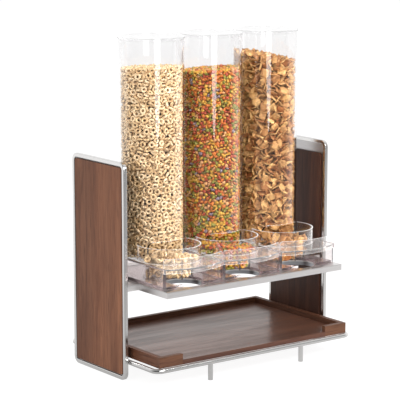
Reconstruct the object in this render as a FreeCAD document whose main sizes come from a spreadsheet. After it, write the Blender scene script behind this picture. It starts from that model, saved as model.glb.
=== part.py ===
"""Three-tube cereal dispenser: wood and chrome stand, clear bins with portion wheels, tubes and tray.

Frame: millimetres, +Z up, X to the right, -Y to the front.  The origin lies on the ground under the
middle of the base rod loop, which is the widest thing front to back.
"""
import FreeCAD, Part
import os
import re
import Sketcher

doc = FreeCAD.newDocument("cereal_dispenser")
sheet = doc.addObject("Spreadsheet::Sheet", "sheet")
V = FreeCAD.Vector
SIDES = (("left", -1), ("right", 1))
COLUMNS = (("1", -1), ("2", 0), ("3", 1))
TOUCH = 1e-6

# ---------------------------------------------------------------- driving dimensions
DIMENSIONS = {
    # side frames: a flat-bar loop filled by two wood panels on a steel plate
    "overall_width": 502.0, "frame_height": 422.0, "frame_depth": 180.0, "frame_center_y": 29.5,
    "bar_width": 8.0, "bar_depth": 8.0, "loop_corner": 15.0, "bar_edge": 1.5,
    "panel_gap": 2.5, "panel_corner": 5.0, "outer_panel_thick": 5.0, "outer_recess": 0.4,
    "plate_thick": 1.5, "inner_panel_thick": 4.5, "inner_panel_drop": 16.5, "inner_panel_low": 46.0,
    # shelf: sheet with a rim, wide between the side frames and narrower in front of them
    "shelf_top": 185.0, "shelf_sheet": 2.0, "shelf_flange": 12.0, "shelf_front_width": 429.0,
    "shelf_front_y": -148.5, "shelf_step_y": -54.7, "shelf_back_y": 113.7,
    "outlet_radius": 37.0, "outlet_y": -95.5, "collar_wall": 1.5, "collar_depth": 9.0,
    # base rod loop and its two front legs
    "rod_radius": 4.75, "rod_height": 35.25, "base_half_width": 238.2, "base_half_depth": 146.75,
    "base_corner": 15.0, "leg_offset": 112.0,
    # wooden tray
    "tray_width": 460.6, "tray_front_y": -145.5, "tray_back_y": 147.5, "tray_low": 40.3,
    "board_thick": 9.5, "tray_height": 21.0, "rail_thick": 9.5, "stub_length": 54.0,
    # clear bins
    "pitch": 140.0, "bin_width": 139.0, "acrylic": 3.0, "wall_thick": 5.0, "floor_thick": 5.0,
    "bin_low": 185.3, "bin_top": 225.3,
    "bin_front_y": -127.5, "bin_back_y": 73.5, "guard_sag": 20.0, "guard_low": 217.0,
    "guard_high": 245.0, "guard_corner": 6.0, "notch_radius": 38.0,
    "cup_radius": 63.5, "cup_y": -48.7, "cup_top": 254.3, "inlet_radius": 17.0, "inlet_offset": 25.2,
    "socket_height": 8.0, "socket_mouth": 96.0,
    # portion wheel under the deck of each bin
    "wheel_radius": 44.0, "wheel_low": 190.6, "wheel_high": 221.6, "hub_radius": 8.0,
    "vane_thick": 3.0, "vane_count": 4.0, "pin_radius": 3.0, "running_gap": 0.05,
    "housing_radius": 48.0, "housing_mouth": 76.0,
    # storage tubes and lids
    "tube_radius": 63.5, "tube_wall": 3.2, "tube_y": 5.8, "tube_low": 225.6, "tube_top": 646.8,
    "window_width": 84.0, "window_top": 260.0, "window_corner": 12.0,
    "lid_radius": 65.0, "lid_thick": 3.0, "lid_lip": 4.0, "lid_lip_wall": 3.0,
    # shared
    "lift_gap": 0.3, "screw_radius": 2.0, "screw_head_radius": 4.0, "screw_head_height": 2.2,
    "screw_length": 8.0, "screw_drop": 6.5, "screw_inset": 30.0,
}
for row, (alias, value) in enumerate(DIMENSIONS.items(), start=1):
    sheet.set("A%d" % row, alias)
    sheet.set("B%d" % row, repr(value))
    sheet.setAlias("B%d" % row, alias)
doc.recompute()
PARTS = []


# ---------------------------------------------------------------- helpers
def bound(text):
    """Prefix each driving dimension in an expression with the sheet's name."""
    return re.sub(r"[a-z_]+", lambda word: "sheet." + word.group(), text)


def dim(text):
    """The present value of an expression in the driving dimensions, worked out by the sheet itself."""
    sheet.set("D1", "=" + text)
    sheet.recompute()
    value = sheet.get("D1")
    return float(getattr(value, "Value", value))


def bind(item, **expressions):
    for prop, text in expressions.items():
        item.setExpression(prop, bound(text))


def place(item, x="0", y="0", z="0"):
    item.setExpression("Placement.Base.x", bound(x))
    item.setExpression("Placement.Base.y", bound(y))
    item.setExpression("Placement.Base.z", bound(z))
    return item


def box(x, y, z, width, depth, height):
    """A box centred on x, from y backwards and from z upwards; every argument is an expression."""
    item = doc.addObject("Part::Box", "box")
    bind(item, Length=width, Width=depth, Height=height)
    return place(item, "%s - ( %s ) / 2" % (x, width), y, z)


def disc(x, y, z, radius, height):
    item = doc.addObject("Part::Cylinder", "disc")
    bind(item, Radius=radius, Height=height)
    return place(item, x, y, z)


def rod(x, y, z, radius, length, axis):
    """A cylinder from x, y, z along +X or +Y."""
    turn = {"x": FreeCAD.Rotation(V(0, 1, 0), 90), "y": FreeCAD.Rotation(V(1, 0, 0), -90)}[axis]
    item = disc(x, y, z, radius, length)
    item.Placement.Rotation = turn
    return item


def cut(base, *tools):
    for tool in tools:
        result = doc.addObject("Part::Cut", "cut")
        result.Base, result.Tool = base, tool
        base = result
    return base


def common(base, tool):
    result = doc.addObject("Part::Common", "common")
    result.Base, result.Tool = base, tool
    return result


def fuse(*items):
    result = doc.addObject("Part::MultiFuse", "fuse")
    result.Shapes = list(items)
    return result


def along(edge, axis):
    line = edge.Curve
    return isinstance(line, Part.Line) and abs(abs(line.Direction.dot(axis)) - 1) < TOUCH


def rounded(base, axis, radius, keep=None):
    """Round the straight edges that run along an axis, all of them or those that keep() picks."""
    doc.recompute()
    size = dim(radius)
    edges = base.Shape.Edges
    result = doc.addObject("Part::Fillet", "fillet")
    result.Base = base
    result.Edges = [(number, size, size) for number, edge in enumerate(edges, start=1)
                    if along(edge, axis) and (keep is None or keep(edge.CenterOfMass))]
    return result


def sector(x, y, z, radius, height, mouth):
    """A wedge of a disc that opens to the front by the angle named by mouth, in degrees."""
    item = disc(x, y, z, radius, height)
    bind(item, Angle=mouth)
    item.setExpression("Placement.Rotation.Angle", bound("-90 - ( %s ) / 2" % mouth))
    return item


def finish(label, item):
    item.Label = label
    PARTS.append(item)
    return item


def new_body(label, x="0", y="0", z="0"):
    body = doc.addObject("PartDesign::Body", label)
    place(body, x, y, z)
    return finish(label, body)


def sketch_on(body, role, name):
    sketch = body.newObject("Sketcher::SketchObject", name)
    plane = next(item for item in body.Origin.OriginFeatures if item.Role == role)
    sketch.AttachmentSupport = (plane, [""])
    sketch.MapMode = "FlatFace"
    return sketch


def add_rectangle(sketch, name, width, height):
    """A rectangle centred on the sketch's origin, with its two sizes bound to the sheet."""
    half_w, half_h = dim(width) / 2, dim(height) / 2
    corners = [V(sx * half_w, sy * half_h, 0) for sx, sy in ((-1, -1), (1, -1), (1, 1), (-1, 1))]
    first = sketch.GeometryCount
    for start, end in zip(corners, corners[1:] + corners[:1]):
        sketch.addGeometry(Part.LineSegment(start, end), False)
    for side in range(4):
        next_side = first + (side + 1) % 4
        sketch.addConstraint(Sketcher.Constraint("Coincident", first + side, 2, next_side, 1))
    for side, kind in enumerate(("Horizontal", "Vertical", "Horizontal", "Vertical")):
        sketch.addConstraint(Sketcher.Constraint(kind, first + side))
    sketch.addConstraint(Sketcher.Constraint("Symmetric", first, 1, first + 2, 1, -1, 1))
    for kind, line, size in (("DistanceX", first, width), ("DistanceY", first + 1, height)):
        number = sketch.addConstraint(Sketcher.Constraint(kind, line, 1, line, 2, dim(size)))
        sketch.renameConstraint(number, "%s_%s" % (name, kind))
        sketch.setExpression("Constraints.%s_%s" % (name, kind), bound(size))


def add_circle(sketch, name, radius):
    circle = sketch.addGeometry(Part.Circle(V(0, 0, 0), V(0, 0, 1), dim(radius)), False)
    sketch.addConstraint(Sketcher.Constraint("Coincident", circle, 3, -1, 1))
    number = sketch.addConstraint(Sketcher.Constraint("Radius", circle, dim(radius)))
    sketch.renameConstraint(number, name)
    sketch.setExpression("Constraints." + name, bound(radius))


def pad(body, sketch, length, symmetric=False):
    feature = body.newObject("PartDesign::Pad", "Pad")
    feature.Profile = sketch
    feature.Midplane = symmetric
    bind(feature, Length=length)
    return feature


def body_fillet(body, feature, radius, keep):
    """Round the edges of a body's last feature that keep() picks."""
    doc.recompute()
    edges = enumerate(feature.Shape.Edges, start=1)
    names = ["Edge%d" % number for number, edge in edges if keep(edge)]
    result = body.newObject("PartDesign::Fillet", "Fillet")
    result.Base = (feature, names)
    bind(result, Radius=radius)
    return result


# ---------------------------------------------------------------- side frames
FRAME_MID_Z = "frame_height / 2"
FRAME_FACE = "overall_width / 2"
OPENING_DEPTH = "( frame_depth - 2 * bar_depth )"
OPENING_HEIGHT = "( frame_height - 2 * bar_depth )"
PLATE_OUT = "( overall_width / 2 - outer_recess - outer_panel_thick )"
PLATE_IN = "( %s - plate_thick )" % PLATE_OUT
INNER_FACE = "( %s - inner_panel_thick )" % PLATE_IN


def side_frame(name, sign):
    """The flat-bar loop, a rounded rectangle with softened edges."""
    across = V(1, 0, 0)
    body = new_body("side_frame_" + name, "%d * ( %s - bar_width / 2 )" % (sign, FRAME_FACE),
                    "frame_center_y", FRAME_MID_Z)
    sketch = sketch_on(body, "YZ_Plane", "loop_outline")
    add_rectangle(sketch, "outer", "frame_depth", "frame_height")
    add_rectangle(sketch, "inner", OPENING_DEPTH, OPENING_HEIGHT)
    loop = pad(body, sketch, "bar_width", symmetric=True)
    reach = dim("frame_depth / 2 - bar_depth / 2")
    loop = body_fillet(body, loop, "loop_corner",
                       lambda edge: along(edge, across) and abs(edge.CenterOfMass.y) > reach)
    loop = body_fillet(body, loop, "loop_corner - bar_depth",
                       lambda edge: along(edge, across) and abs(edge.CenterOfMass.y) < reach)
    face_x = dim("bar_width / 2")
    body_fillet(body, loop, "bar_edge",
                lambda edge: abs(abs(edge.CenterOfMass.x) - face_x) < TOUCH)


def upright_panel(sign, outer_x, thick, low, high, gap, corner):
    """A panel in a loop's opening, between two heights, with its corners rounded."""
    slab = box("%d * ( %s - ( %s ) / 2 )" % (sign, outer_x, thick),
               "frame_center_y - %s / 2 + %s" % (OPENING_DEPTH, gap), low,
               thick, "%s - 2 * %s" % (OPENING_DEPTH, gap), "( %s ) - ( %s )" % (high, low))
    return rounded(slab, V(1, 0, 0), corner)


def screw_places():
    """The two heights-and-depths of the shelf screws on each side, as expressions for y and z."""
    height = "shelf_top - screw_drop"
    return [("shelf_step_y + screw_inset", height), ("shelf_back_y - screw_inset", height)]


def side_panels(name, sign):
    """A plate welded into the loop, with a wood panel glued on each face."""
    high = "frame_height - bar_depth"
    outer = upright_panel(sign, "( overall_width / 2 - outer_recess )", "outer_panel_thick",
                          "bar_depth + panel_gap", "%s - panel_gap" % high, "panel_gap", "panel_corner")
    finish("outer_panel_" + name, outer)
    plate = upright_panel(sign, PLATE_OUT, "plate_thick", "bar_depth", high, "0",
                          "loop_corner - bar_depth")
    finish("backing_plate_" + name, plate)
    inner = upright_panel(sign, PLATE_IN, "inner_panel_thick", "inner_panel_low",
                          "%s - panel_gap - inner_panel_drop" % high, "panel_gap", "panel_corner")
    holes = [rod("%d * %s - inner_panel_thick" % (sign, PLATE_IN), y, z, "screw_radius + running_gap",
                 "2 * inner_panel_thick", "x") for y, z in screw_places()]
    finish("inner_panel_" + name, cut(inner, *holes))


# ---------------------------------------------------------------- shelf
SHELF_WIDTH = "2 * %s" % INNER_FACE
RIM_LOW = "( shelf_top - shelf_flange )"
RIM_HEIGHT = "( shelf_flange - shelf_sheet )"


def shelf_plate():
    """The flat top: a wide rear part and a narrower front part, with a round outlet for each bin."""
    low = "shelf_top - shelf_sheet"
    rear = box("0", "shelf_step_y", low, SHELF_WIDTH, "shelf_back_y - shelf_step_y", "shelf_sheet")
    front = box("0", "shelf_front_y", low, "shelf_front_width", "shelf_step_y - shelf_front_y",
                "shelf_sheet")
    outlets = [disc("%d * pitch" % column, "outlet_y", low, "outlet_radius", "shelf_sheet")
               for _, column in COLUMNS]
    finish("shelf", cut(fuse(rear, front), *outlets))


def strip(x, y, width, depth):
    """One length of the rim under the shelf's edge."""
    return box(x, y, RIM_LOW, width, depth, RIM_HEIGHT)


def group_of(label, solids):
    """Several like solids under one label."""
    group = doc.addObject("Part::Compound", "group")
    group.Links = solids
    finish(label, group)


def shelf_rim():
    """The strips that stiffen the shelf, welded under its edges and drilled for the screws."""
    strips = [strip("0", "shelf_front_y", "shelf_front_width", "shelf_sheet"),
              strip("0", "shelf_back_y - shelf_sheet", SHELF_WIDTH, "shelf_sheet")]
    step_width = "( %s - shelf_sheet - shelf_front_width / 2 )" % INNER_FACE
    for _, sign in SIDES:
        strips.append(strip("%d * ( shelf_front_width - shelf_sheet ) / 2" % sign,
                            "shelf_front_y + shelf_sheet", "shelf_sheet",
                            "shelf_step_y - shelf_front_y"))
        strips.append(strip("%d * ( shelf_front_width + %s ) / 2" % (sign, step_width), "shelf_step_y",
                            step_width, "shelf_sheet"))
        side = strip("%d * ( %s - shelf_sheet / 2 )" % (sign, INNER_FACE), "shelf_step_y",
                     "shelf_sheet", "shelf_back_y - shelf_step_y - shelf_sheet")
        holes = [rod("%d * %s - 2 * shelf_sheet" % (sign, INNER_FACE), y, z,
                     "screw_radius + running_gap", "4 * shelf_sheet", "x") for y, z in screw_places()]
        strips.append(cut(side, *holes))
    group_of("shelf_rim", strips)


def outlet_collars():
    """A short ring under each outlet, which guides the cereal down."""
    low, height = "shelf_top - collar_depth", "collar_depth - shelf_sheet"
    rings = []
    for _, column in COLUMNS:
        x = "%d * pitch" % column
        rings.append(cut(disc(x, "outlet_y", low, "outlet_radius + collar_wall", height),
                         disc(x, "outlet_y", low, "outlet_radius", height)))
    group_of("outlet_collars", rings)


def shelf_screws():
    """Four screws through the shelf's rim into the inner panels, heads on the inside."""
    screws = []
    for _, sign in SIDES:
        head_face = "%d * ( %s - shelf_sheet )" % (sign, INNER_FACE)
        shift_head = "0" if sign < 0 else "screw_head_height"
        shift_shank = "screw_length - screw_head_height" if sign < 0 else "0"
        for y, z in screw_places():
            head = rod("%s - %s" % (head_face, shift_head), y, z,
                       "screw_head_radius", "screw_head_height", "x")
            shank = rod("%s - ( %s )" % (head_face, shift_shank), y, z, "screw_radius",
                        "screw_length - screw_head_height", "x")
            screws.append(fuse(head, shank))
    group_of("shelf_screws", screws)


# ---------------------------------------------------------------- base
def base_loop():
    """One round rod bent into a closed rounded rectangle under the tray."""
    straight_x = "( base_half_width - base_corner )"
    straight_y = "( base_half_depth - base_corner )"
    runs = []
    for sign in (-1, 1):
        runs.append(rod("-%s" % straight_x, "%d * base_half_depth" % sign, "rod_height", "rod_radius",
                        "2 * %s" % straight_x, "x"))
        runs.append(rod("%d * base_half_width" % sign, "-%s" % straight_y, "rod_height", "rod_radius",
                        "2 * %s" % straight_y, "y"))
    for quarter, (sx, sy) in enumerate(((1, 1), (-1, 1), (-1, -1), (1, -1))):
        bend = doc.addObject("Part::Torus", "bend")
        bind(bend, Radius1="base_corner", Radius2="rod_radius")
        bend.Angle3 = 90
        bend.Placement.Rotation = FreeCAD.Rotation(V(0, 0, 1), 90 * quarter)
        place(bend, "%d * %s" % (sx, straight_x), "%d * %s" % (sy, straight_y), "rod_height")
        runs.append(bend)
    finish("base_loop", fuse(*runs))


def front_leg(name, sign):
    """A plain rod from the ground to the front run of the base loop, coped to fit under it."""
    leg = disc("%d * leg_offset" % sign, "-base_half_depth", "0", "rod_radius", "rod_height")
    saddle = rod("%d * leg_offset - 2 * rod_radius" % sign, "-base_half_depth", "rod_height",
                 "rod_radius", "4 * rod_radius", "x")
    finish("front_leg_" + name, cut(leg, saddle))


# ---------------------------------------------------------------- tray
def tray():
    """A board held in rails on three sides, with a short stub at each front corner."""
    depth = "( tray_back_y - tray_front_y )"
    board = box("0", "tray_front_y", "tray_low", "tray_width - 2 * rail_thick",
                "%s - rail_thick" % depth, "board_thick")
    corners = []
    for name, sign in SIDES:
        x = "%d * ( tray_width - rail_thick ) / 2" % sign
        rail = box(x, "tray_front_y + rail_thick", "tray_low", "rail_thick",
                   "%s - 2 * rail_thick" % depth, "tray_height")
        finish("tray_rail_" + name, rail)
        x = "%d * ( tray_width - stub_length ) / 2" % sign
        stub = [x, "tray_front_y", "tray_low", "stub_length", "rail_thick"]
        finish("tray_stub_" + name, box(*stub, "tray_height"))
        corners.append(box(*stub, "board_thick"))
    finish("tray_board", cut(board, *corners))
    back = box("0", "tray_back_y - rail_thick", "tray_low", "tray_width", "rail_thick",
               "tray_height")
    finish("tray_rail_back", back)


# ---------------------------------------------------------------- bins
BIN_HEIGHT = "( bin_top - bin_low )"
CLEAR_WIDTH = "bin_width - 2 * wall_thick"
GUARD_RADIUS = "( ( bin_width * bin_width / 4 + guard_sag * guard_sag ) / ( 2 * guard_sag ) )"
GUARD_CENTER_Y = "bin_front_y - guard_sag + %s" % GUARD_RADIUS


def bow(x, low, height, grow="0"):
    """The large cylinder whose front face is the curve of a bin's front, grown by a wall or not."""
    return disc(x, GUARD_CENTER_Y, low, "%s + %s" % (GUARD_RADIUS, grow), height)


def pin_hole(x, low, height):
    return disc(x, "cup_y", low, "pin_radius + running_gap", height)


def bin_plates(name, x):
    floor_depth = "bin_back_y - acrylic - bin_front_y"
    floor_plate = box(x, "bin_front_y", "bin_low", CLEAR_WIDTH, floor_depth, "floor_thick")
    notch = disc(x, "outlet_y", "bin_low", "notch_radius", "floor_thick")
    finish("bin_floor_" + name, cut(floor_plate, notch, pin_hole(x, "bin_low", "floor_thick")))

    deck_low = "bin_top - acrylic"
    deck = box(x, "bin_front_y - guard_sag", deck_low, CLEAR_WIDTH,
               "bin_back_y - acrylic - bin_front_y + guard_sag", "acrylic")
    deck = common(deck, bow(x, deck_low, "acrylic"))
    inlet = disc(x, "cup_y + inlet_offset", deck_low, "inlet_radius", "acrylic")
    finish("bin_deck_" + name, cut(deck, inlet, pin_hole(x, deck_low, "acrylic")))

    for side, sign in SIDES:
        wall_x = "( %s + %d * ( bin_width - wall_thick ) / 2 )" % (x, sign)
        wall = box(wall_x, "bin_front_y - wall_thick", "bin_low", "wall_thick",
                   "bin_back_y - bin_front_y + wall_thick", BIN_HEIGHT)
        finish("bin_wall_%s_%s" % (side, name), common(wall, bow(x, "bin_low", BIN_HEIGHT)))
    back = box(x, "bin_back_y - acrylic", "bin_low", CLEAR_WIDTH, "acrylic", BIN_HEIGHT)
    finish("bin_wall_back_" + name, back)


def bin_guard(name, x):
    """The bowed band across the front of the bin, with its upper corners rounded."""
    height = "( guard_high - guard_low )"
    blank = box(x, "bin_front_y - guard_sag - 2 * acrylic", "guard_low", "bin_width",
                "guard_sag + 3 * acrylic", height)
    mid_z = dim("( guard_high + guard_low ) / 2")
    blank = rounded(blank, V(0, 1, 0), "guard_corner", keep=lambda point: point.z > mid_z)
    ring = cut(bow(x, "guard_low", height, "acrylic"), bow(x, "guard_low", height))
    finish("bin_guard_" + name, common(blank, ring))


def bin_rings(name, x):
    """The round cup wall, the low ring that locates the tube and the housing of the portion wheel."""
    cup_height = "( cup_top - bin_top )"
    cup = cut(disc(x, "cup_y", "bin_top", "cup_radius", cup_height),
              disc(x, "cup_y", "bin_top", "cup_radius - acrylic", cup_height),
              disc(x, "tube_y", "bin_top", "tube_radius + acrylic + 2 * lift_gap", cup_height))
    finish("cup_wall_" + name, cup)

    clear = "tube_radius + lift_gap"
    ring = cut(disc(x, "tube_y", "bin_top", clear + " + acrylic", "socket_height"),
               disc(x, "tube_y", "bin_top", clear, "socket_height"),
               sector(x, "tube_y", "bin_top", "2 * tube_radius", "socket_height", "socket_mouth"))
    finish("tube_socket_" + name, ring)

    low = "bin_low + floor_thick"
    height = "%s - floor_thick - acrylic" % BIN_HEIGHT
    housing = cut(disc(x, "cup_y", low, "housing_radius", height),
                  disc(x, "cup_y", low, "housing_radius - acrylic", height),
                  sector(x, "cup_y", low, "2 * housing_radius", height, "housing_mouth"))
    finish("wheel_housing_" + name, housing)
    finish("wheel_pin_" + name, disc(x, "cup_y", "bin_low", "pin_radius", BIN_HEIGHT))


def portion_wheel(name, x):
    """A hub with upright vanes, open above and below, that turns on the bin's pin."""
    body = new_body("portion_wheel_" + name, x, "cup_y", "wheel_low")
    height = "wheel_high - wheel_low"
    half_turn = 180
    hub = sketch_on(body, "XY_Plane", "hub_outline")
    add_circle(hub, "hub", "hub_radius")
    pad(body, hub, height)
    vanes = sketch_on(body, "XY_Plane", "vane_outline")
    add_rectangle(vanes, "vane", "2 * wheel_radius", "vane_thick")
    vane_pair = pad(body, vanes, height)
    pattern = body.newObject("PartDesign::PolarPattern", "vane_pattern")
    pattern.Originals = [vane_pair]
    pattern.Axis = (vanes, ["N_Axis"])
    pattern.Angle = half_turn
    bind(pattern, Occurrences="vane_count / 2")
    pattern.Mode = "Spacing" if "Spacing" in pattern.getEnumerationsOfProperty("Mode") else "Extent"
    bind(pattern, Offset="360 / vane_count")
    body.Tip = pattern
    doc.recompute()
    bore = sketch_on(body, "XY_Plane", "bore_outline")
    add_circle(bore, "bore", "pin_radius + running_gap")
    pocket = body.newObject("PartDesign::Pocket", "bore")
    pocket.Profile = bore
    pocket.Type = "ThroughAll"
    pocket.Midplane = True


# ---------------------------------------------------------------- tubes and lids
def storage_tube(name, x):
    """A clear tube, open at both ends, with a low window that lets cereal into the cup."""
    height = "tube_top - tube_low"
    wall = cut(disc(x, "tube_y", "tube_low", "tube_radius", height),
               disc(x, "tube_y", "tube_low", "tube_radius - tube_wall", height))
    window = box(x, "tube_y - 1.5 * tube_radius", "tube_low - window_corner", "window_width",
                 "1.5 * tube_radius", "window_top - tube_low + window_corner")
    window = rounded(window, V(0, 1, 0), "window_corner")
    finish("storage_tube_" + name, cut(wall, window))


def lid(name, x):
    """A flat disc with a short lip that drops inside the tube."""
    low = "tube_top + lift_gap"
    lip_radius = "tube_radius - tube_wall - lift_gap"
    lip = cut(disc(x, "tube_y", "%s - lid_lip" % low, lip_radius, "lid_lip"),
              disc(x, "tube_y", "%s - lid_lip" % low, lip_radius + " - lid_lip_wall", "lid_lip"))
    finish("lid_" + name, fuse(disc(x, "tube_y", low, "lid_radius", "lid_thick"), lip))


# ---------------------------------------------------------------- assembly
for side_name, side_sign in SIDES:
    side_frame(side_name, side_sign)
    side_panels(side_name, side_sign)
    front_leg(side_name, side_sign)
shelf_plate()
shelf_rim()
outlet_collars()
shelf_screws()
base_loop()
tray()
for column_name, column_number in COLUMNS:
    column_x = "%d * pitch" % column_number
    bin_plates(column_name, column_x)
    bin_guard(column_name, column_x)
    bin_rings(column_name, column_x)
    portion_wheel(column_name, column_x)
    storage_tube(column_name, column_x)
    lid(column_name, column_x)
doc.recompute()

for item in doc.Objects:
    if "Invalid" in item.State or "Error" in item.State:
        raise SystemExit("failed object: %s %s" % (item.Label, item.State))
os.makedirs("parts", exist_ok=True)
for item in PARTS:
    if item.Shape.isNull() or not item.Shape.isValid():
        raise SystemExit("bad shape: " + item.Label)
    item.Shape.exportStep("parts/%s.step" % item.Label)
    extent = item.Shape.BoundBox
    print("%-20s solids %d  volume %9.0f  x %7.1f %7.1f  y %7.1f %7.1f  z %6.1f %6.1f" % (
        item.Label, len(item.Shape.Solids), item.Shape.Volume, extent.XMin, extent.XMax,
        extent.YMin, extent.YMax, extent.ZMin, extent.ZMax))
print(len(PARTS), "nodes")
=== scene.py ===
"""Looks of the three-tube cereal dispenser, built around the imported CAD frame. Metres, +Z up, -Y front."""
import bpy
import math
import numpy as np
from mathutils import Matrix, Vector
from mathutils.kdtree import KDTree


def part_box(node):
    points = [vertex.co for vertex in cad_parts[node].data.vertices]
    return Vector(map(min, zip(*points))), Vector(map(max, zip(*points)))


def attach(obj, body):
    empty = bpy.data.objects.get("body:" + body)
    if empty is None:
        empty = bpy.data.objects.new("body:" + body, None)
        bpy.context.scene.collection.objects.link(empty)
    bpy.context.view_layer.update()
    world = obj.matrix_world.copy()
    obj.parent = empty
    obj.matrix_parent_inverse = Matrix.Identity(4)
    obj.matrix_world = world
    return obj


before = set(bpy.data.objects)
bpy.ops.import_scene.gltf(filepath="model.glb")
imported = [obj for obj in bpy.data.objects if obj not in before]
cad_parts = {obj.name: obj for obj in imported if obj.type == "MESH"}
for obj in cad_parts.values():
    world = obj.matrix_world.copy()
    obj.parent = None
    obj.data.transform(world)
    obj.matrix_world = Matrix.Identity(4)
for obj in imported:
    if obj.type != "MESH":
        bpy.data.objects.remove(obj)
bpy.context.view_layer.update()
MM = 0.001
COLUMNS = ("1", "2", "3")
WHITE = (1, 1, 1, 1)


# ---------------------------------------------------------------- node helpers
class Nodes:
    """A node tree, and short ways to add to it."""

    def __init__(self, tree):
        self.tree = tree

    def add(self, kind, **properties):
        node = self.tree.nodes.new(kind)
        for name, value in properties.items():
            setattr(node, name, value)
        return node

    def link(self, source, target):
        self.tree.links.new(source, target)

    def feed(self, value, socket):
        """Link a value that comes from another node, or set a plain one."""
        if isinstance(value, bpy.types.NodeSocket):
            self.link(value, socket)
        else:
            socket.default_value = value

    def calculate(self, operation, *values):
        node = self.add("ShaderNodeMath", operation=operation)
        for value, socket in zip(values, node.inputs):
            self.link(value, socket)
        return node.outputs[0]

    def between(self, factor, first, second):
        """A number that goes from first to second."""
        node = self.add("ShaderNodeMix")
        for value, index in ((factor, 0), (first, 2), (second, 3)):
            self.feed(value, node.inputs[index])
        return node.outputs[0]

    def remap(self, value, low, high, from_low=0.0, from_high=1.0):
        node = self.add("ShaderNodeMapRange")
        ends = {"From Min": from_low, "From Max": from_high, "To Min": low, "To Max": high}
        for name, number in ends.items():
            node.inputs[name].default_value = number
        self.link(value, node.inputs["Value"])
        return node.outputs["Result"]


class Graph(Nodes):
    """A material and the nodes that make it."""

    def __init__(self, name, **sockets):
        self.material = bpy.data.materials.new(name)
        self.material.use_nodes = True
        super().__init__(self.material.node_tree)
        self.shader = self.tree.nodes["Principled BSDF"]
        for socket, value in sockets.items():
            self.shader.inputs[socket.replace("_", " ")].default_value = value
        self.place = self.add("ShaderNodeTexCoord").outputs["Object"]

    def noise(self, cells, detail=4.0, roughness=0.55, distortion=0.0, shift=(0, 0, 0)):
        """Noise with so many cells to the metre, along all axes or along X, Y and Z."""
        mapping = self.add("ShaderNodeMapping")
        mapping.inputs["Scale"].default_value = cells if isinstance(cells, tuple) else (cells,) * 3
        mapping.inputs["Location"].default_value = shift
        self.link(self.place, mapping.inputs["Vector"])
        node = self.add("ShaderNodeTexNoise")
        for name, value in (("Scale", 1.0), ("Detail", detail), ("Roughness", roughness),
                            ("Distortion", distortion)):
            node.inputs[name].default_value = value
        self.link(mapping.outputs["Vector"], node.inputs["Vector"])
        return node.outputs["Fac"]

    def ramp(self, value, stops):
        node = self.add("ShaderNodeValToRGB")
        ends = node.color_ramp.elements
        for index, (place, colour) in enumerate(stops):
            stop = ends[index] if index < 2 else ends.new(place)
            stop.position = place
            stop.color = (*colour, 1)
        self.link(value, node.inputs["Fac"])
        return node.outputs["Color"]

    def mix(self, factor, first, second, blend="MIX"):
        node = self.add("ShaderNodeMix", data_type="RGBA", blend_type=blend)
        for value, index in ((factor, 0), (first, 6), (second, 7)):
            self.feed(value, node.inputs[index])
        return node.outputs[2]

    def multiply(self, first, second):
        return self.mix(1.0, first, second, "MULTIPLY")

    def bump(self, height, distance, strength=1.0):
        node = self.add("ShaderNodeBump")
        node.inputs["Strength"].default_value = strength
        node.inputs["Distance"].default_value = distance
        self.link(height, node.inputs["Height"])
        self.link(node.outputs["Normal"], self.shader.inputs["Normal"])
        return node.outputs["Normal"]

    def colour(self, source):
        self.link(source, self.shader.inputs["Base Color"])

    def roughness(self, source):
        self.link(source, self.shader.inputs["Roughness"])


def srgb(red, green, blue):
    """A display colour from 0 to 255 as linear numbers."""
    return tuple(c / 255 / 12.92 if c / 255 <= 0.04045 else ((c / 255 + 0.055) / 1.055) ** 2.4
                 for c in (red, green, blue))


# ---------------------------------------------------------------- materials of the stand, tray and bins
def walnut(name, grain, shift, dark, light, varnish=0.06, gloss=0.3, glow=0.0, worn=0.0):
    """Walnut veneer under a clear varnish: grain runs along the axis named by grain; glow is its warm sheen,
    and worn is how unevenly the varnish has sunk into the figure."""
    g = Graph(name, Specular_IOR_Level=0.25, Coat_Weight=varnish, Coat_Roughness=gloss, Sheen_Weight=glow,
              Sheen_Roughness=0.4, Sheen_Tint=(1.0, 0.62, 0.45, 1))

    figure_along, figure_across = 3.0, 38.0

    def cells(along, across):
        return tuple(figure_along * along if axis == grain else figure_across * across for axis in "xyz")

    figure = g.noise(cells(0.28, 0.28), 3.0, 0.5, 0.6, shift)
    bands = g.noise(cells(1, 1), 6.0, 0.6, 0.9, shift)
    fibres = g.noise(cells(4, 14), 3.0, 0.6, shift=shift)
    pores = g.noise(cells(9, 26), 1.0, 0.5, shift=shift)
    base = g.ramp(bands, [(0.28, dark), (0.72, light)])
    for layer, stops in ((figure, [(0.3, (0.72, 0.70, 0.70)), (0.7, (1.12, 1.1, 1.08))]),
                         (fibres, [(0.3, (0.80, 0.78, 0.77)), (0.65, (1.06, 1.06, 1.06))]),
                         (pores, [(0.33, (0.55, 0.5, 0.48)), (0.42, (1, 1, 1))])):
        base = g.multiply(base, g.ramp(layer, stops))
    g.colour(base)
    g.roughness(g.remap(fibres, 0.44, 0.6))
    if worn:
        sunk = g.remap(bands, varnish * (1 - worn), varnish * (1 + worn), 0.3, 0.7)
        g.link(sunk, g.shader.inputs["Coat Weight"])
    g.link(g.bump(g.mix(0.5, fibres, pores), 0.00025, 0.35), g.shader.inputs["Coat Normal"])
    return g.material


def chrome(name):
    """Polished chrome with the faintest orange peel and wiping marks."""
    g = Graph(name, Metallic=1.0, Base_Color=(0.74, 0.73, 0.72, 1))
    g.roughness(g.remap(g.noise(30, 3.0), 0.12, 0.2, 0.3, 0.7))
    g.bump(g.noise(260, 2.0), 0.0002, 0.06)
    return g.material


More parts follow.
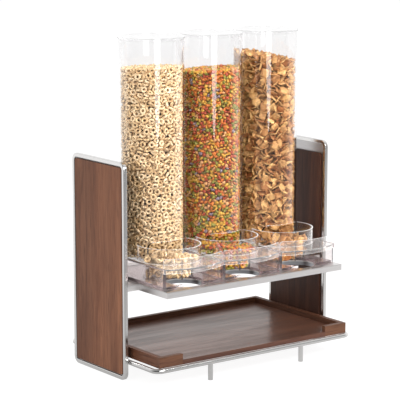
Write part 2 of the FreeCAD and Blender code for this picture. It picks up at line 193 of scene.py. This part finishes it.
def brushed(name, tint, cells, rough):
    """Brushed sheet steel; it has few cells along the brushing and many across it."""
    g = Graph(name, Metallic=1.0)
    lines = g.noise(cells, 4.0, 0.7)
    streak = g.ramp(lines, [(0.25, tuple(c * 0.88 for c in tint)), (0.75, tint)])
    shade = g.ramp(g.noise(9, 3.0), [(0.3, (0.94, 0.94, 0.94)), (0.7, (1, 1, 1))])
    g.colour(g.multiply(streak, shade))
    g.roughness(g.remap(lines, rough - 0.07, rough + 0.07, 0.2, 0.8))
    g.bump(lines, 0.0001, 0.25)
    return g.material


def acrylic(name, tint, clear=1.0, depth=None, density=0.0, edges=0.0):
    """Polished acrylic with a trace of handling marks; depth tints the light that runs along a sheet,
    and edges is how satin its sawn upper and lower edges are."""
    g = Graph(name, Base_Color=tint + (1,), Transmission_Weight=clear, IOR=1.49)
    haze = g.remap(g.noise(24, 4.0), 0.0, 0.035, 0.55, 0.8)
    if edges:
        split = g.add("ShaderNodeSeparateXYZ")
        g.link(g.add("ShaderNodeTexCoord").outputs["Normal"], split.inputs[0])
        upright = g.calculate("ABSOLUTE", split.outputs["Z"])
        haze = g.calculate("MAXIMUM", haze, g.remap(upright, 0.0, edges, 0.8, 0.95))
        g.link(g.remap(upright, clear, clear - edges, 0.8, 0.95), g.shader.inputs["Transmission Weight"])
    g.roughness(haze)
    if depth:
        inside = g.add("ShaderNodeVolumeAbsorption")
        inside.inputs["Color"].default_value = depth + (1,)
        inside.inputs["Density"].default_value = density
        g.link(inside.outputs["Volume"], g.tree.nodes["Material Output"].inputs["Volume"])
    g.bump(g.noise(40, 1.0), 0.0002, 0.05)
    return g.material


WOOD_OUTER = walnut("walnut_outer", "z", (0, 0, 0), srgb(98, 58, 37), srgb(136, 90, 63))
# Painted shade: the inner panels are the outer panels' walnut made darker, for the shade on faces turned away
# from the light.
WOOD_INNER_SHADED = walnut("walnut_inner_shaded", "z", (4, 2, 1), srgb(56, 31, 22), srgb(94, 59, 43))
WOOD_BOARD = walnut("walnut_board", "x", (1, 3, 2), srgb(60, 31, 19), srgb(110, 64, 41),
                    varnish=0.66, gloss=0.22, glow=0.10, worn=0.5)
WOOD_RAIL = walnut("walnut_rail", "x", (6, 1, 4), srgb(86, 52, 35), srgb(124, 84, 60), varnish=0.12)
WOOD_SIDE_RAIL = walnut("walnut_side_rail", "y", (2, 5, 3), srgb(84, 50, 34), srgb(120, 80, 58))
CHROME = chrome("chrome_polished")
PLATE = brushed("plate_steel", (0.58, 0.56, 0.56), (600, 40, 600), 0.32)
SHELF = brushed("shelf_satin", (0.86, 0.84, 0.83), (20, 900, 900), 0.32)
FLANGE = brushed("flange_satin", (0.97, 0.94, 0.93), (20, 900, 900), 0.36)
# Painted shade: the collars' steel is darkened for the shade inside the shelf's outlet holes.
COLLAR_SHADED = brushed("collar_steel_shaded", (0.40, 0.40, 0.42), (500, 500, 60), 0.34)
SCREW = brushed("screw_steel_fine", (0.6, 0.6, 0.6), 500, 0.3)
TUBE_CLEAR = acrylic("acrylic_tube", (0.995, 0.992, 0.992), depth=(0.60, 0.59, 0.60), density=17.0, edges=0.7)
LID_CLEAR = acrylic("acrylic_lid", (0.995, 0.992, 0.992), depth=(0.60, 0.59, 0.60), density=4.0)
BIN_CLEAR = acrylic("acrylic_bin", (0.99, 0.98, 0.97), 0.99)
WALL_CLEAR = acrylic("acrylic_wall", (0.98, 0.95, 0.95), 0.985, depth=(0.72, 0.50, 0.53), density=20.0)
GUARD_CLEAR = acrylic("acrylic_guard", (0.995, 0.98, 0.97), 0.95, edges=0.6)
CUP_CLEAR = acrylic("acrylic_cup", (0.98, 0.96, 0.95), 0.995, edges=0.6)


def wear(material, *names):
    """Give CAD nodes a material, on their objects and not on their meshes."""
    for name in names:
        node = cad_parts[name]
        if not node.material_slots:
            node.data.materials.append(material)
        for slot in node.material_slots:
            slot.link = "OBJECT"
            slot.material = material


for side in ("left", "right"):
    wear(CHROME, "side_frame_" + side, "front_leg_" + side)
    wear(WOOD_OUTER, "outer_panel_" + side)
    wear(WOOD_INNER_SHADED, "inner_panel_" + side)
    wear(PLATE, "backing_plate_" + side)
    wear(WOOD_SIDE_RAIL, "tray_rail_" + side)
    wear(WOOD_RAIL, "tray_stub_" + side)
wear(CHROME, "base_loop")
wear(SHELF, "shelf")
wear(FLANGE, "shelf_rim")
wear(COLLAR_SHADED, "outlet_collars")
wear(SCREW, "shelf_screws")
wear(WOOD_BOARD, "tray_board")
wear(WOOD_RAIL, "tray_rail_back")

CLEAR_PIECES = {
    "bin_floor": WALL_CLEAR, "bin_deck": BIN_CLEAR, "bin_wall_left": WALL_CLEAR, "bin_wall_right": WALL_CLEAR,
    "bin_wall_back": BIN_CLEAR, "bin_guard": GUARD_CLEAR, "cup_wall": CUP_CLEAR, "tube_socket": BIN_CLEAR,
    "wheel_housing": BIN_CLEAR, "wheel_pin": BIN_CLEAR, "portion_wheel": BIN_CLEAR,
    "storage_tube": TUBE_CLEAR, "lid": LID_CLEAR,
}
for column in COLUMNS:
    for piece, look in CLEAR_PIECES.items():
        wear(look, "%s_%s" % (piece, column))
        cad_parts["%s_%s" % (piece, column)].visible_shadow = False


# ---------------------------------------------------------------- materials of the loose cereal
def toasted(name, pale, mid, dark, cells, depth):
    """Baked cereal: its own tone for each piece, darker and lighter patches, and a puffed crumb."""
    g = Graph(name, Specular_IOR_Level=0.3)
    own = g.add("ShaderNodeNewGeometry").outputs["Random Per Island"]
    tone = g.ramp(own, [(0.0, mid), (1.0, pale)])
    patch = g.noise(cells, 3.0, 0.6)
    g.colour(g.mix(g.remap(patch, 0.0, 0.75, 0.45, 0.75), tone, dark + (1,)))
    crumb = g.noise(cells * 6, 3.0, 0.7)
    g.roughness(g.remap(crumb, 0.5, 0.75))
    g.bump(crumb, depth, 0.6)
    return g.material


def fruity(name, colours, cells):
    """Coloured bits: each piece takes one of the colours by its share, with a sugary mottle."""
    g = Graph(name, Specular_IOR_Level=0.4)
    own = g.add("ShaderNodeNewGeometry").outputs["Random Per Island"]
    total = sum(share for share, _ in colours)
    stops, place = [], 0.0
    for share, colour in colours:
        stops.append((place, colour))
        place += share / total
    base = g.ramp(own, stops)
    base.node.color_ramp.interpolation = "CONSTANT"
    mottle = g.noise(cells, 3.0, 0.6)
    shade = g.ramp(mottle, [(0.3, (0.78, 0.74, 0.7)), (0.7, (1.12, 1.1, 1.05))])
    g.colour(g.multiply(base, shade))
    g.roughness(g.remap(mottle, 0.4, 0.62))
    g.bump(mottle, 0.0004, 0.4)
    return g.material


def painted_shade_core(name, stops, cells):
    """What shows deep between the pieces: the same cereal, painted dark as its shade, as small cells."""
    g = Graph(name, Roughness=0.8)
    voronoi = g.add("ShaderNodeTexVoronoi")
    voronoi.inputs["Scale"].default_value = cells
    g.link(g.place, voronoi.inputs["Vector"])
    g.colour(g.ramp(voronoi.outputs["Color"], stops))
    g.bump(voronoi.outputs["Distance"], 0.002, 0.8)
    return g.material


RING_LOOK = toasted("ring_crumb", srgb(240, 216, 178), srgb(218, 186, 140), srgb(164, 112, 62), 160, 0.0006)
FLAKE_LOOK = toasted("flake_crumb", srgb(228, 182, 118), srgb(158, 98, 52), srgb(108, 60, 28), 110, 0.0008)
BIT_COLOURS = [(26, srgb(198, 112, 42)), (14, srgb(164, 66, 34)), (27, srgb(204, 156, 58)),
               (18, srgb(136, 132, 52)), (3, srgb(136, 120, 130)), (12, srgb(204, 150, 98))]
BIT_LOOK = fruity("bit_sugar", BIT_COLOURS, 300)
# Painted shade: the cores' dark colours stand for the cereal in shade deep inside each filling.
RING_SHADE_CORE = painted_shade_core("ring_shade_core", [(0.2, srgb(56, 30, 14)), (0.8, srgb(100, 62, 32))], 110)
BIT_SHADE_CORE = painted_shade_core("bit_shade_core", [(0.2, srgb(96, 42, 24)), (0.5, srgb(120, 72, 30)),
                                    (0.8, srgb(70, 66, 34))], 200)
FLAKE_SHADE_CORE = painted_shade_core("flake_shade_core", [(0.2, srgb(40, 18, 8)), (0.8, srgb(74, 38, 18))], 60)


# ---------------------------------------------------------------- forms of the loose cereal, in millimetres
def ring_form():
    """A puffed ring about 13 mm across: vertices and quads."""
    around, across = 12, 7
    major, minor = 4.5, 2.1
    turn = np.arange(around) * 2 * np.pi / around
    roll = np.arange(across) * 2 * np.pi / across
    t, r = np.meshgrid(turn, roll, indexing="ij")
    out = major + minor * np.cos(r)
    verts = np.stack([out * np.cos(t), out * np.sin(t), minor * np.sin(r)], -1).reshape(-1, 3)
    faces = [(a * across + b, (a + 1) % around * across + b,
              (a + 1) % around * across + (b + 1) % across, a * across + (b + 1) % across)
             for a in range(around) for b in range(across)]
    return verts, np.array(faces)


def bit_form():
    """A small puffed bit, a squashed icosahedron."""
    half_sizes = (4.8, 3.8, 2.3)
    g = (1 + 5 ** 0.5) / 2
    verts = np.array([(-1, g, 0), (1, g, 0), (-1, -g, 0), (1, -g, 0), (0, -1, g), (0, 1, g),
                      (0, -1, -g), (0, 1, -g), (g, 0, -1), (g, 0, 1), (-g, 0, -1), (-g, 0, 1)])
    faces = [(0, 11, 5), (0, 5, 1), (0, 1, 7), (0, 7, 10), (0, 10, 11), (1, 5, 9), (5, 11, 4), (11, 10, 2),
             (10, 7, 6), (7, 1, 8), (3, 9, 4), (3, 4, 2), (3, 2, 6), (3, 6, 8), (3, 8, 9), (4, 9, 5),
             (2, 4, 11), (6, 2, 10), (8, 6, 7), (9, 8, 1)]
    return verts / np.linalg.norm(verts[0]) * half_sizes, np.array(faces)


def flake_form():
    """A thin toasted square about 17 mm across, slightly cupped, closed all round."""
    steps = 4
    half, half_thick = 8.3, 0.9
    corner_pull, edge_taper, cupped, cup_low = 0.10, 0.25, 0.7, 0.6
    line = np.linspace(-1, 1, steps + 1)
    u, v = np.meshgrid(line, line, indexing="ij")
    pull = 1 - corner_pull * (u * v) ** 2
    edge = 1 - edge_taper * np.maximum(abs(u), abs(v)) ** 4
    lift = cupped * (u ** 2 + v ** 2) - cup_low
    sheets = [np.stack([u * half * pull, v * half * pull, lift + face * half_thick * edge], -1).reshape(-1, 3)
              for face in (1, -1)]
    side = steps + 1
    faces = []
    for a in range(steps):
        for b in range(steps):
            quad = (a * side + b, (a + 1) * side + b, (a + 1) * side + b + 1, a * side + b + 1)
            faces.append(quad)
            faces.append(tuple(index + side * side for index in reversed(quad)))
    rim = ([(a, 0) for a in range(steps)] + [(steps, b) for b in range(steps)]
           + [(a, steps) for a in range(steps, 0, -1)] + [(0, b) for b in range(steps, 0, -1)])
    rim = [a * side + b for a, b in rim]
    for start, end in zip(rim, rim[1:] + rim[:1]):
        faces.append((start, start + side * side, end + side * side, end))
    return np.concatenate(sheets), np.array(faces)


class Kind:
    """One sort of cereal: its form, the half thickness and half width that it packs by, its room in mm3,
    how uneven it is, how far it leans at random, the share that lies flat on the pieces below, and
    whether it lies in small stacks."""

    def __init__(self, form, flat, wide, room, ragged, lean, lying=0.0, stacked=False):
        self.verts, self.faces = form
        self.flat, self.wide, self.room, self.ragged = flat, wide, room, ragged
        self.lean, self.lying, self.stacked = lean, lying, stacked

    def reach(self, axes, way):
        """How far each piece reaches from its middle along a direction."""
        way = np.broadcast_to(way, axes.shape)
        lean = np.einsum("ij,ij->i", way, axes)
        return self.flat + (self.wide - self.flat) * np.sqrt(np.clip(1 - lean ** 2, 0, 1))


RINGS = Kind(ring_form(), flat=2.1, wide=6.5, room=920, ragged=0.05, lean=0.5, lying=0.2)
BITS = Kind(bit_form(), flat=2.4, wide=4.2, room=230, ragged=0.16, lean=1.2, lying=0.3)
FLAKES = Kind(flake_form(), flat=1.9, wide=8.4, room=1150, ragged=0.04, lean=0.4, stacked=True)


# ---------------------------------------------------------------- packing the loose cereal
X_WAY, Y_WAY, UP = np.eye(3)
PACKING = 0.99            # the share of their two reaches that neighbours' middles stay apart
PUSH = 0.45               # share of an overlap that each of two pieces backs away in one round
ROUNDS = 48
ROUNDS_PER_SEARCH = 6     # neighbours are searched again after so many rounds


def unit(vectors):
    """Vectors at length one."""
    return vectors / (np.linalg.norm(vectors, axis=1, keepdims=True) + 1e-12)


def drift(points, rng):
    """A direction at each point that turns slowly from place to place, from six random waves."""
    waves = rng.normal(size=(6, 3)) * 0.14        # radians to the millimetre
    phase = rng.uniform(0, 2 * np.pi, 6)
    ways = rng.normal(size=(6, 3))
    return unit(np.cos(points @ waves.T + phase) @ ways)


def neighbours(points, distance):
    """All pairs of points nearer than a distance, as two arrays of indices."""
    tree = KDTree(len(points))
    for index, point in enumerate(points):
        tree.insert(point, index)
    tree.balance()
    pairs = np.array([(index, other) for index, point in enumerate(points)
                      for _, other, _ in tree.find_range(point, distance) if other > index])
    return pairs.T


def settle(kind, points, axes, confine):
    """Push pieces apart until each has its room, while confine keeps them in their container."""
    for step in range(ROUNDS):
        if step % ROUNDS_PER_SEARCH == 0:
            first, second = neighbours(points, 2 * kind.wide)
        gap = points[second] - points[first]
        apart = np.linalg.norm(gap, axis=1)
        way = gap / (apart[:, None] + 1e-9)
        need = PACKING * (kind.reach(axes[first], way) + kind.reach(axes[second], way))
        push = np.clip(need - apart, 0, None)[:, None] * way * PUSH
        for index, sign in ((first, -1), (second, 1)):
            for axis in range(3):
                points[:, axis] += sign * np.bincount(index, push[:, axis], len(points))
        confine(points, axes)


def keep_in_round(kind, points, axes, middle, radius, outside=False):
    """Keep pieces inside, or outside, an upright round wall whose middle is at y = middle."""
    radial = points * (1, 1, 0) - (0, middle, 0)
    away = np.linalg.norm(radial, axis=1)
    way = radial / (away[:, None] + 1e-9)
    reach = kind.reach(axes, way)
    wanted = np.maximum(away, radius + reach) if outside else np.minimum(away, radius - reach)
    points += way * (wanted - away)[:, None]


def keep_up(kind, points, axes, floor, highest):
    """Keep pieces above a floor, and their middles below a height where that leaves them room."""
    lowest = floor + kind.reach(axes, UP)
    points[:, 2] = np.clip(points[:, 2], lowest, np.maximum(highest, lowest))


def scatter(kind, rng, count, low, high, fits):
    """Random places and axes in the part of a box that fits says, as many as that part has room for."""
    points = np.stack([rng.uniform(*ends, count) for ends in zip(low, high)], 1)
    axes = unit(rng.normal(size=(count, 3)))
    inside = fits(points)
    chosen = np.flatnonzero(inside)[:int(inside.mean() * np.prod(np.subtract(high, low)) / kind.room)]
    return points[chosen], axes[chosen]


def make_pieces(name, kind, rng, points, axes, center_x, material, body, low, inside, outside=None):
    """One mesh of loose pieces, each turned to its axis, at its own size and slightly irregular, kept to
    its corners above low, inside one round wall and outside another, given as middle and radius."""
    count, corners = len(points), len(kind.verts)
    helper = unit(np.cross(axes, unit(rng.normal(size=(count, 3)))))
    turns = np.stack([helper, np.cross(axes, helper), axes], 1)
    form = kind.verts[None] * (1 + kind.ragged * rng.normal(size=(count, 1, 3)).clip(-1.6, 1.6))
    form = form * (1 + kind.ragged * 0.6 * rng.normal(size=(count, corners, 1)).clip(-1.5, 1.5))
    verts = np.einsum("pvi,pij->pvj", form, turns) + points[:, None, :]
    for wall, sign in ((inside, 1), (outside, -1)):
        if wall:
            radial = verts[..., :2] - (0, wall[0])
            excess = np.clip((sign * (np.linalg.norm(radial, axis=2) - wall[1])).max(1), 0, None)
            way = unit(points[:, :2] - (0, wall[0]))
            verts[..., :2] -= (sign * excess)[:, None, None] * way[:, None, :]
    verts[..., 2] += np.clip(low - verts[..., 2].min(1), 0, None)[:, None]
    faces = kind.faces[None] + corners * np.arange(count)[:, None, None]
    verts = verts.reshape(-1, 3) + (center_x, 0, 0)
    new_piece(name, verts, faces.reshape(-1, kind.faces.shape[1]), material, body, not kind.stacked)


def new_piece(name, verts, faces, material, body, smooth=True):
    """A mesh from vertices in millimetres and faces of one kind, riding on a body."""
    mesh = bpy.data.meshes.new(name)
    mesh.vertices.add(len(verts))
    mesh.vertices.foreach_set("co", (np.asarray(verts) * MM).astype(np.float32).ravel())
    mesh.loops.add(faces.size)
    mesh.loops.foreach_set("vertex_index", faces.astype(np.int32).ravel())
    mesh.polygons.add(len(faces))
    mesh.polygons.foreach_set("loop_start", np.arange(0, faces.size, faces.shape[1], dtype=np.int32))
    mesh.update(calc_edges=True)
    mesh.validate()
    if smooth:
        mesh.shade_smooth()
    mesh.materials.append(material)
    piece = bpy.data.objects.new(name, mesh)
    bpy.context.scene.collection.objects.link(piece)
    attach(piece, body)


# ---------------------------------------------------------------- filling the tubes, cups and wheels
def span(node):
    """Middle, half width, lowest and highest corner of a node at rest, in millimetres."""
    low, high = (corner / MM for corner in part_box(node))
    return (low + high) / 2, (high - low) / 2, low, high


TUBE_MIDDLE, TUBE_HALF, _, _ = span("storage_tube_2")
TUBE_Y, TUBE_RADIUS = TUBE_MIDDLE.y, TUBE_HALF.x
PITCH = span("storage_tube_3")[0].x - TUBE_MIDDLE.x
CENTERS = {"1": -PITCH, "2": 0.0, "3": PITCH}
CUP_Y = span("wheel_pin_2")[0].y
TUBE_FLOOR = 226.2                                   # just above the tube's lower end
TUBE_INSIDE = 60.0                                   # a little less than the tube's inner radius
TUBE_INSIDE_END = TUBE_RADIUS - 3.3                  # no corner of a piece goes further out
TUBE_OUTSIDE = TUBE_RADIUS + 0.6                     # just clear of the tube
CUP_FLOOR = span("bin_deck_2")[3].z + 0.4            # just above the deck
CUP_CEILING = 260.0                                  # above any heap in a cup
CUP_INSIDE = span("cup_wall_2")[1].x - 3.4           # a little less than the cup wall's inner radius
WHEEL_FLOOR = span("portion_wheel_2")[2].z + 0.6     # just above the lower side of the vanes
WHEEL_HUB = 8.3                                      # a little more than the hub's radius
WHEEL_RIM = 43.4                                     # a little less than the vanes' reach
WHEEL_RIM_END = WHEEL_RIM + 0.3                      # no corner of a piece goes further out
HALF_VANE = 1.7                                      # a little more than half a vane's thickness
TRIES_IN_CUP, TRIES_IN_WHEEL = 6000, 8000            # random places to choose from
OVERLAP = 0.2                                        # pieces that reach further past a wall are left out


def tube_places(kind, rng, inner, skin, top):
    """Random places and axes in a tube, against its wall and under the filling's upper surface."""
    shell = np.pi * (TUBE_INSIDE ** 2 - inner ** 2) * (top(0.0, 0.0) - TUBE_FLOOR)
    cap = np.pi * inner ** 2 * skin
    count = int((shell + cap) / kind.room)
    on_top = rng.random(count) < cap / (shell + cap)
    angle = rng.uniform(0, 2 * np.pi, count)
    nearest, farthest = np.where(on_top, 0, inner ** 2), np.where(on_top, inner ** 2, TUBE_INSIDE ** 2)
    away = np.sqrt(rng.uniform(nearest, farthest))
    points = np.stack([away * np.cos(angle), TUBE_Y + away * np.sin(angle), np.zeros(count)], 1)
    ceiling = top(points[:, 0], points[:, 1])
    points[:, 2] = np.where(on_top, ceiling - rng.uniform(0, skin, count), rng.uniform(TUBE_FLOOR, ceiling))
    radial = unit(points * (1, 1, 0) - (0, TUBE_Y, 0))
    outward = np.where((on_top | (rng.random(count) < kind.lying))[:, None], UP, radial)
    axes = unit((drift(points, rng) if kind.stacked else outward) + kind.lean * rng.normal(size=(count, 3)))
    return points, axes


def fill_tube(column, kind, material, shade_core_material, inner, skin, top, seed):
    """Fill a tube: a thick skin of pieces against the wall and on top, round a hidden core painted in the
    cereal's shade.
    """
    rng = np.random.default_rng(seed)
    points, axes = tube_places(kind, rng, inner, skin, top)

    def confine(places, turned):
        local = places - (0, TUBE_Y, 0)
        away_now = np.hypot(local[:, 0], local[:, 1])
        roof = top(places[:, 0], places[:, 1])
        deep = places[:, 2] < roof - skin
        out = np.where(deep & (away_now < inner), inner / (away_now + 1e-9), 1.0)
        places[:, :2] = local[:, :2] * out[:, None] + (0, TUBE_Y)
        keep_in_round(kind, places, turned, TUBE_Y, TUBE_INSIDE)
        keep_up(kind, places, turned, TUBE_FLOOR, roof - kind.reach(turned, UP))

    settle(kind, points, axes, confine)
    body = "tube_" + column
    away = np.hypot(points[:, 0], points[:, 1] - TUBE_Y)
    outer = away > np.median(away)
    for part, chosen in (("outer", outer), ("inner", ~outer)):
        make_pieces("cereal_tube_%s_%s" % (column, part), kind, rng, points[chosen], axes[chosen],
                    CENTERS[column], material, body, TUBE_FLOOR, (TUBE_Y, TUBE_INSIDE_END))
    core(column, shade_core_material, inner - kind.wide * 0.5, top, skin * 0.8, body, rng)


def core(column, material, radius, top, sunk, body, rng):
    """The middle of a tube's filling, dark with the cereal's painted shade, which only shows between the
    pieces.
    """
    around, rings, wobble = 48, 60, 0.015
    floor_z = TUBE_FLOOR + 1
    turn = np.arange(around) * 2 * np.pi / around
    rows = []
    for row in range(rings + 1):
        out = radius * (1 + wobble * rng.normal(size=around).clip(-2, 2))
        x, y = out * np.cos(turn), TUBE_Y + out * np.sin(turn)
        rows.append(np.stack([x, y, floor_z + (top(x, y) - sunk - floor_z) * row / rings], 1))
    for share in (0.66, 0.33):
        x, y = rows[rings][:, 0] * share, TUBE_Y + (rows[rings][:, 1] - TUBE_Y) * share
        rows.append(np.stack([x, y, top(x, y) - sunk], 1))
    verts = np.concatenate(rows + [[(0, TUBE_Y, top(0.0, 0.0) - sunk)], [(0, TUBE_Y, floor_z)]])
    last, tip, base = len(rows) - 1, len(verts) - 2, len(verts) - 1
    quads = np.array([(r * around + a, r * around + (a + 1) % around, (r + 1) * around + (a + 1) % around,
                       (r + 1) * around + a) for r in range(last) for a in range(around)])
    ends = [(last * around + a, last * around + (a + 1) % around, tip) for a in range(around)]
    ends += [((a + 1) % around, a, base) for a in range(around)]
    triangles = np.concatenate([quads[:, [0, 1, 2]], quads[:, [0, 2, 3]], np.array(ends)])
    new_piece("cereal_shade_core_" + column, verts + (CENTERS[column], 0, 0), triangles, material, body)


def fill_cup(column, kind, material, top, seed):
    """Loose pieces in the crescent between the tube and the cup's wall."""
    rng = np.random.default_rng(seed)
    spare = kind.flat * 1.2

    def fits(places):
        x, y, z = places.T
        in_cup = np.hypot(x, y - CUP_Y) < CUP_INSIDE - spare
        off_tube = np.hypot(x, y - TUBE_Y) > TUBE_OUTSIDE + spare
        return in_cup & off_tube & (z < top(x, y))

    def confine(places, turned):
        keep_in_round(kind, places, turned, TUBE_Y, TUBE_OUTSIDE, outside=True)
        keep_in_round(kind, places, turned, CUP_Y, CUP_INSIDE)
        keep_up(kind, places, turned, CUP_FLOOR, top(places[:, 0], places[:, 1]))

    box = (-CUP_INSIDE, CUP_Y - CUP_INSIDE, CUP_FLOOR), (CUP_INSIDE, CUP_Y, CUP_CEILING)
    points, axes = scatter(kind, rng, TRIES_IN_CUP, *box, fits)
    settle(kind, points, axes, confine)
    radial = unit(points * (1, 1, 0) - (0, TUBE_Y, 0))
    nearest = np.hypot(points[:, 0], points[:, 1] - TUBE_Y) - kind.reach(axes, radial)
    clear = nearest > TUBE_OUTSIDE - OVERLAP
    make_pieces("cereal_cup_" + column, kind, rng, points[clear], axes[clear], CENTERS[column], material,
                "bin_" + column, CUP_FLOOR, (CUP_Y, CUP_INSIDE), (TUBE_Y, TUBE_OUTSIDE))


def fill_wheel(column, kind, material, level, seed):
    """Loose pieces between the vanes of the portion wheel, up to a level; they turn with it."""
    rng = np.random.default_rng(seed)
    high = WHEEL_FLOOR + level
    spare = kind.flat * 1.3

    def fits(places):
        away = np.hypot(places[:, 0], places[:, 1])
        return ((away < WHEEL_RIM - spare) & (away > WHEEL_HUB + spare)
                & (np.abs(places[:, :2]).min(1) > HALF_VANE + spare))

    box = (-WHEEL_RIM, -WHEEL_RIM, WHEEL_FLOOR), (WHEEL_RIM, WHEEL_RIM, high)
    points, axes = scatter(kind, rng, TRIES_IN_WHEEL, *box, fits)
    corner = np.sign(points[:, :2])

    def confine(places, turned):
        keep_in_round(kind, places, turned, 0, WHEEL_HUB, outside=True)
        for axis, way in ((0, X_WAY), (1, Y_WAY)):
            wanted = np.maximum(np.abs(places[:, axis]), HALF_VANE + kind.reach(turned, way))
            places[:, axis] = corner[:, axis] * wanted
        keep_in_round(kind, places, turned, 0, WHEEL_RIM)
        keep_up(kind, places, turned, WHEEL_FLOOR, high - kind.reach(turned, UP))

    settle(kind, points, axes, confine)
    clear = np.ones(len(points), bool)
    for axis, way in ((0, X_WAY), (1, Y_WAY)):
        clear &= np.abs(points[:, axis]) - kind.reach(axes, way) > HALF_VANE - OVERLAP
    make_pieces("cereal_wheel_" + column, kind, rng, points[clear] + (0, CUP_Y, 0), axes[clear],
                CENTERS[column], material, "wheel_" + column, WHEEL_FLOOR, (CUP_Y, WHEEL_RIM_END))


def slope(height, to_right=0.0, to_back=0.0):
    """A filling's upper surface: its height in mm in the middle of the tube, and how it rises from there."""
    return lambda x, y: height + to_right * x + to_back * (y - TUBE_Y)


fill_tube("1", RINGS, RING_LOOK, RING_SHADE_CORE, 46.0, 13.0, slope(593, 0.0, -0.05), 11)
fill_tube("2", BITS, BIT_LOOK, BIT_SHADE_CORE, 51.0, 9.0, slope(581, 0.05, -0.06), 12)
fill_tube("3", FLAKES, FLAKE_LOOK, FLAKE_SHADE_CORE, 38.0, 24.0, slope(600, -0.17, 0.10), 13)
fill_cup("1", RINGS, RING_LOOK, slope(236, -0.28), 21)
fill_cup("2", BITS, BIT_LOOK, slope(236, -0.18), 22)
fill_cup("3", FLAKES, FLAKE_LOOK, slope(231, -0.28), 23)
fill_wheel("1", RINGS, RING_LOOK, 30.0, 31)
fill_wheel("2", BITS, BIT_LOOK, 26.0, 32)
fill_wheel("3", FLAKES, FLAKE_LOOK, 30.0, 33)

# ---------------------------------------------------------------- stage
TO_BACK = (0.595, 0.80, 0.0)       # the way from the front of the studio to its back
DIM_FROM, WHITE_FROM = -0.6, 0.5   # it is darkest from so far to the front, and white from so far to the back
ROOM_WHITE = 1.02
FLOOR_WHITE = 0.92


def toward_back(nodes, place):
    """How far a place or a direction lies to the back of the studio."""
    dot = nodes.add("ShaderNodeVectorMath", operation="DOT_PRODUCT")
    dot.inputs[1].default_value = TO_BACK
    nodes.link(place, dot.inputs[0])
    return dot.outputs["Value"]


def studio_floor():
    """Paper that shines like a light table; in reflections it falls off toward the front, as under flags."""
    half, low = 6, -0.0005
    corners = [(-half, -half, low), (half, -half, low), (half, half, low), (-half, half, low)]
    mesh = bpy.data.meshes.new("floor")
    mesh.from_pydata(corners, [], [(0, 1, 2, 3)])
    paper = Graph("paper", Roughness=0.9, Specular_IOR_Level=0.1, Emission_Color=WHITE)
    paper.colour(paper.ramp(paper.noise(3), [(0.3, (0.17, 0.17, 0.17)), (0.7, (0.19, 0.19, 0.19))]))
    mirrored = paper.remap(toward_back(paper, paper.place), 0.12, FLOOR_WHITE, DIM_FROM, WHITE_FROM)
    in_mirror = paper.add("ShaderNodeLightPath").outputs["Is Glossy Ray"]
    paper.link(paper.between(in_mirror, FLOOR_WHITE, mirrored), paper.shader.inputs["Emission Strength"])
    mesh.materials.append(paper.material)
    floor = bpy.data.objects.new("floor", mesh)
    bpy.context.scene.collection.objects.link(floor)


def studio_room():
    """A room that is white behind the object and dimmer in front of it, most of all in reflections. The
    camera sees it white, and what shines through the acrylic is partly white."""
    world = bpy.data.worlds.new("studio")
    world.use_nodes = True
    sky = Nodes(world.node_tree)
    rays = sky.add("ShaderNodeLightPath").outputs
    behind = toward_back(sky, sky.add("ShaderNodeTexCoord").outputs["Generated"])
    lit, mirrored = (sky.remap(behind, front, ROOM_WHITE, DIM_FROM, WHITE_FROM) for front in (0.34, 0.10))
    room = sky.between(rays["Is Glossy Ray"], lit, mirrored)
    through = sky.remap(rays["Is Transmission Ray"], 0.0, 0.45)
    strength = sky.between(sky.calculate("MAXIMUM", rays["Is Camera Ray"], through), room, ROOM_WHITE)
    backdrop = sky.tree.nodes["Background"]
    backdrop.inputs["Color"].default_value = WHITE
    sky.link(strength, backdrop.inputs["Strength"])
    bpy.context.scene.world = world


def softbox(name, place, target, width, height, power, shape="RECTANGLE"):
    """A soft light of so many watts that shines from a place toward a target; the camera doesn't see it."""
    data = bpy.data.lights.new(name, "AREA")
    data.shape = shape
    data.size, data.size_y, data.energy = width, height, power
    lamp = bpy.data.objects.new(name, data)
    bpy.context.scene.collection.objects.link(lamp)
    lamp.location = place
    lamp.rotation_euler = (Vector(target) - Vector(place)).to_track_quat("-Z", "Y").to_euler()
    lamp.visible_camera = False
    return lamp


def studio_camera(place, turn, pitch, lens):
    """A camera turned to the right of +Y and pitched down, both in radians."""
    data = bpy.data.cameras.new("camera")
    data.lens, data.sensor_width = lens, 36.0
    camera = bpy.data.objects.new("camera", data)
    bpy.context.scene.collection.objects.link(camera)
    camera.location = place
    camera.rotation_euler = (math.pi / 2 - pitch, 0, -turn)
    bpy.context.scene.camera = camera


studio_floor()
studio_room()
studio_camera((-2.1263, -2.8352, 0.9581), turn=0.6370, pitch=0.1790, lens=163.05)
softbox("key", (0.7, -2.3, 2.0), (0, 0, 0.3), 1.3, 1.0, 62)
softbox("strip", (-0.44, -1.10, 0.60), (-0.03, 0, 0.56), 0.42, 0.64, 3.0, "ELLIPSE")
fill = softbox("fill", (-2.3, -0.8, 1.2), (0, 0, 0.3), 1.5, 1.5, 26)
fill.visible_glossy = False
bpy.context.scene.view_settings.view_transform = "Standard"
bpy.context.scene.cycles.max_bounces = 32
bpy.context.scene.cycles.transmission_bounces = 32
bpy.context.scene.cycles.glossy_bounces = 12
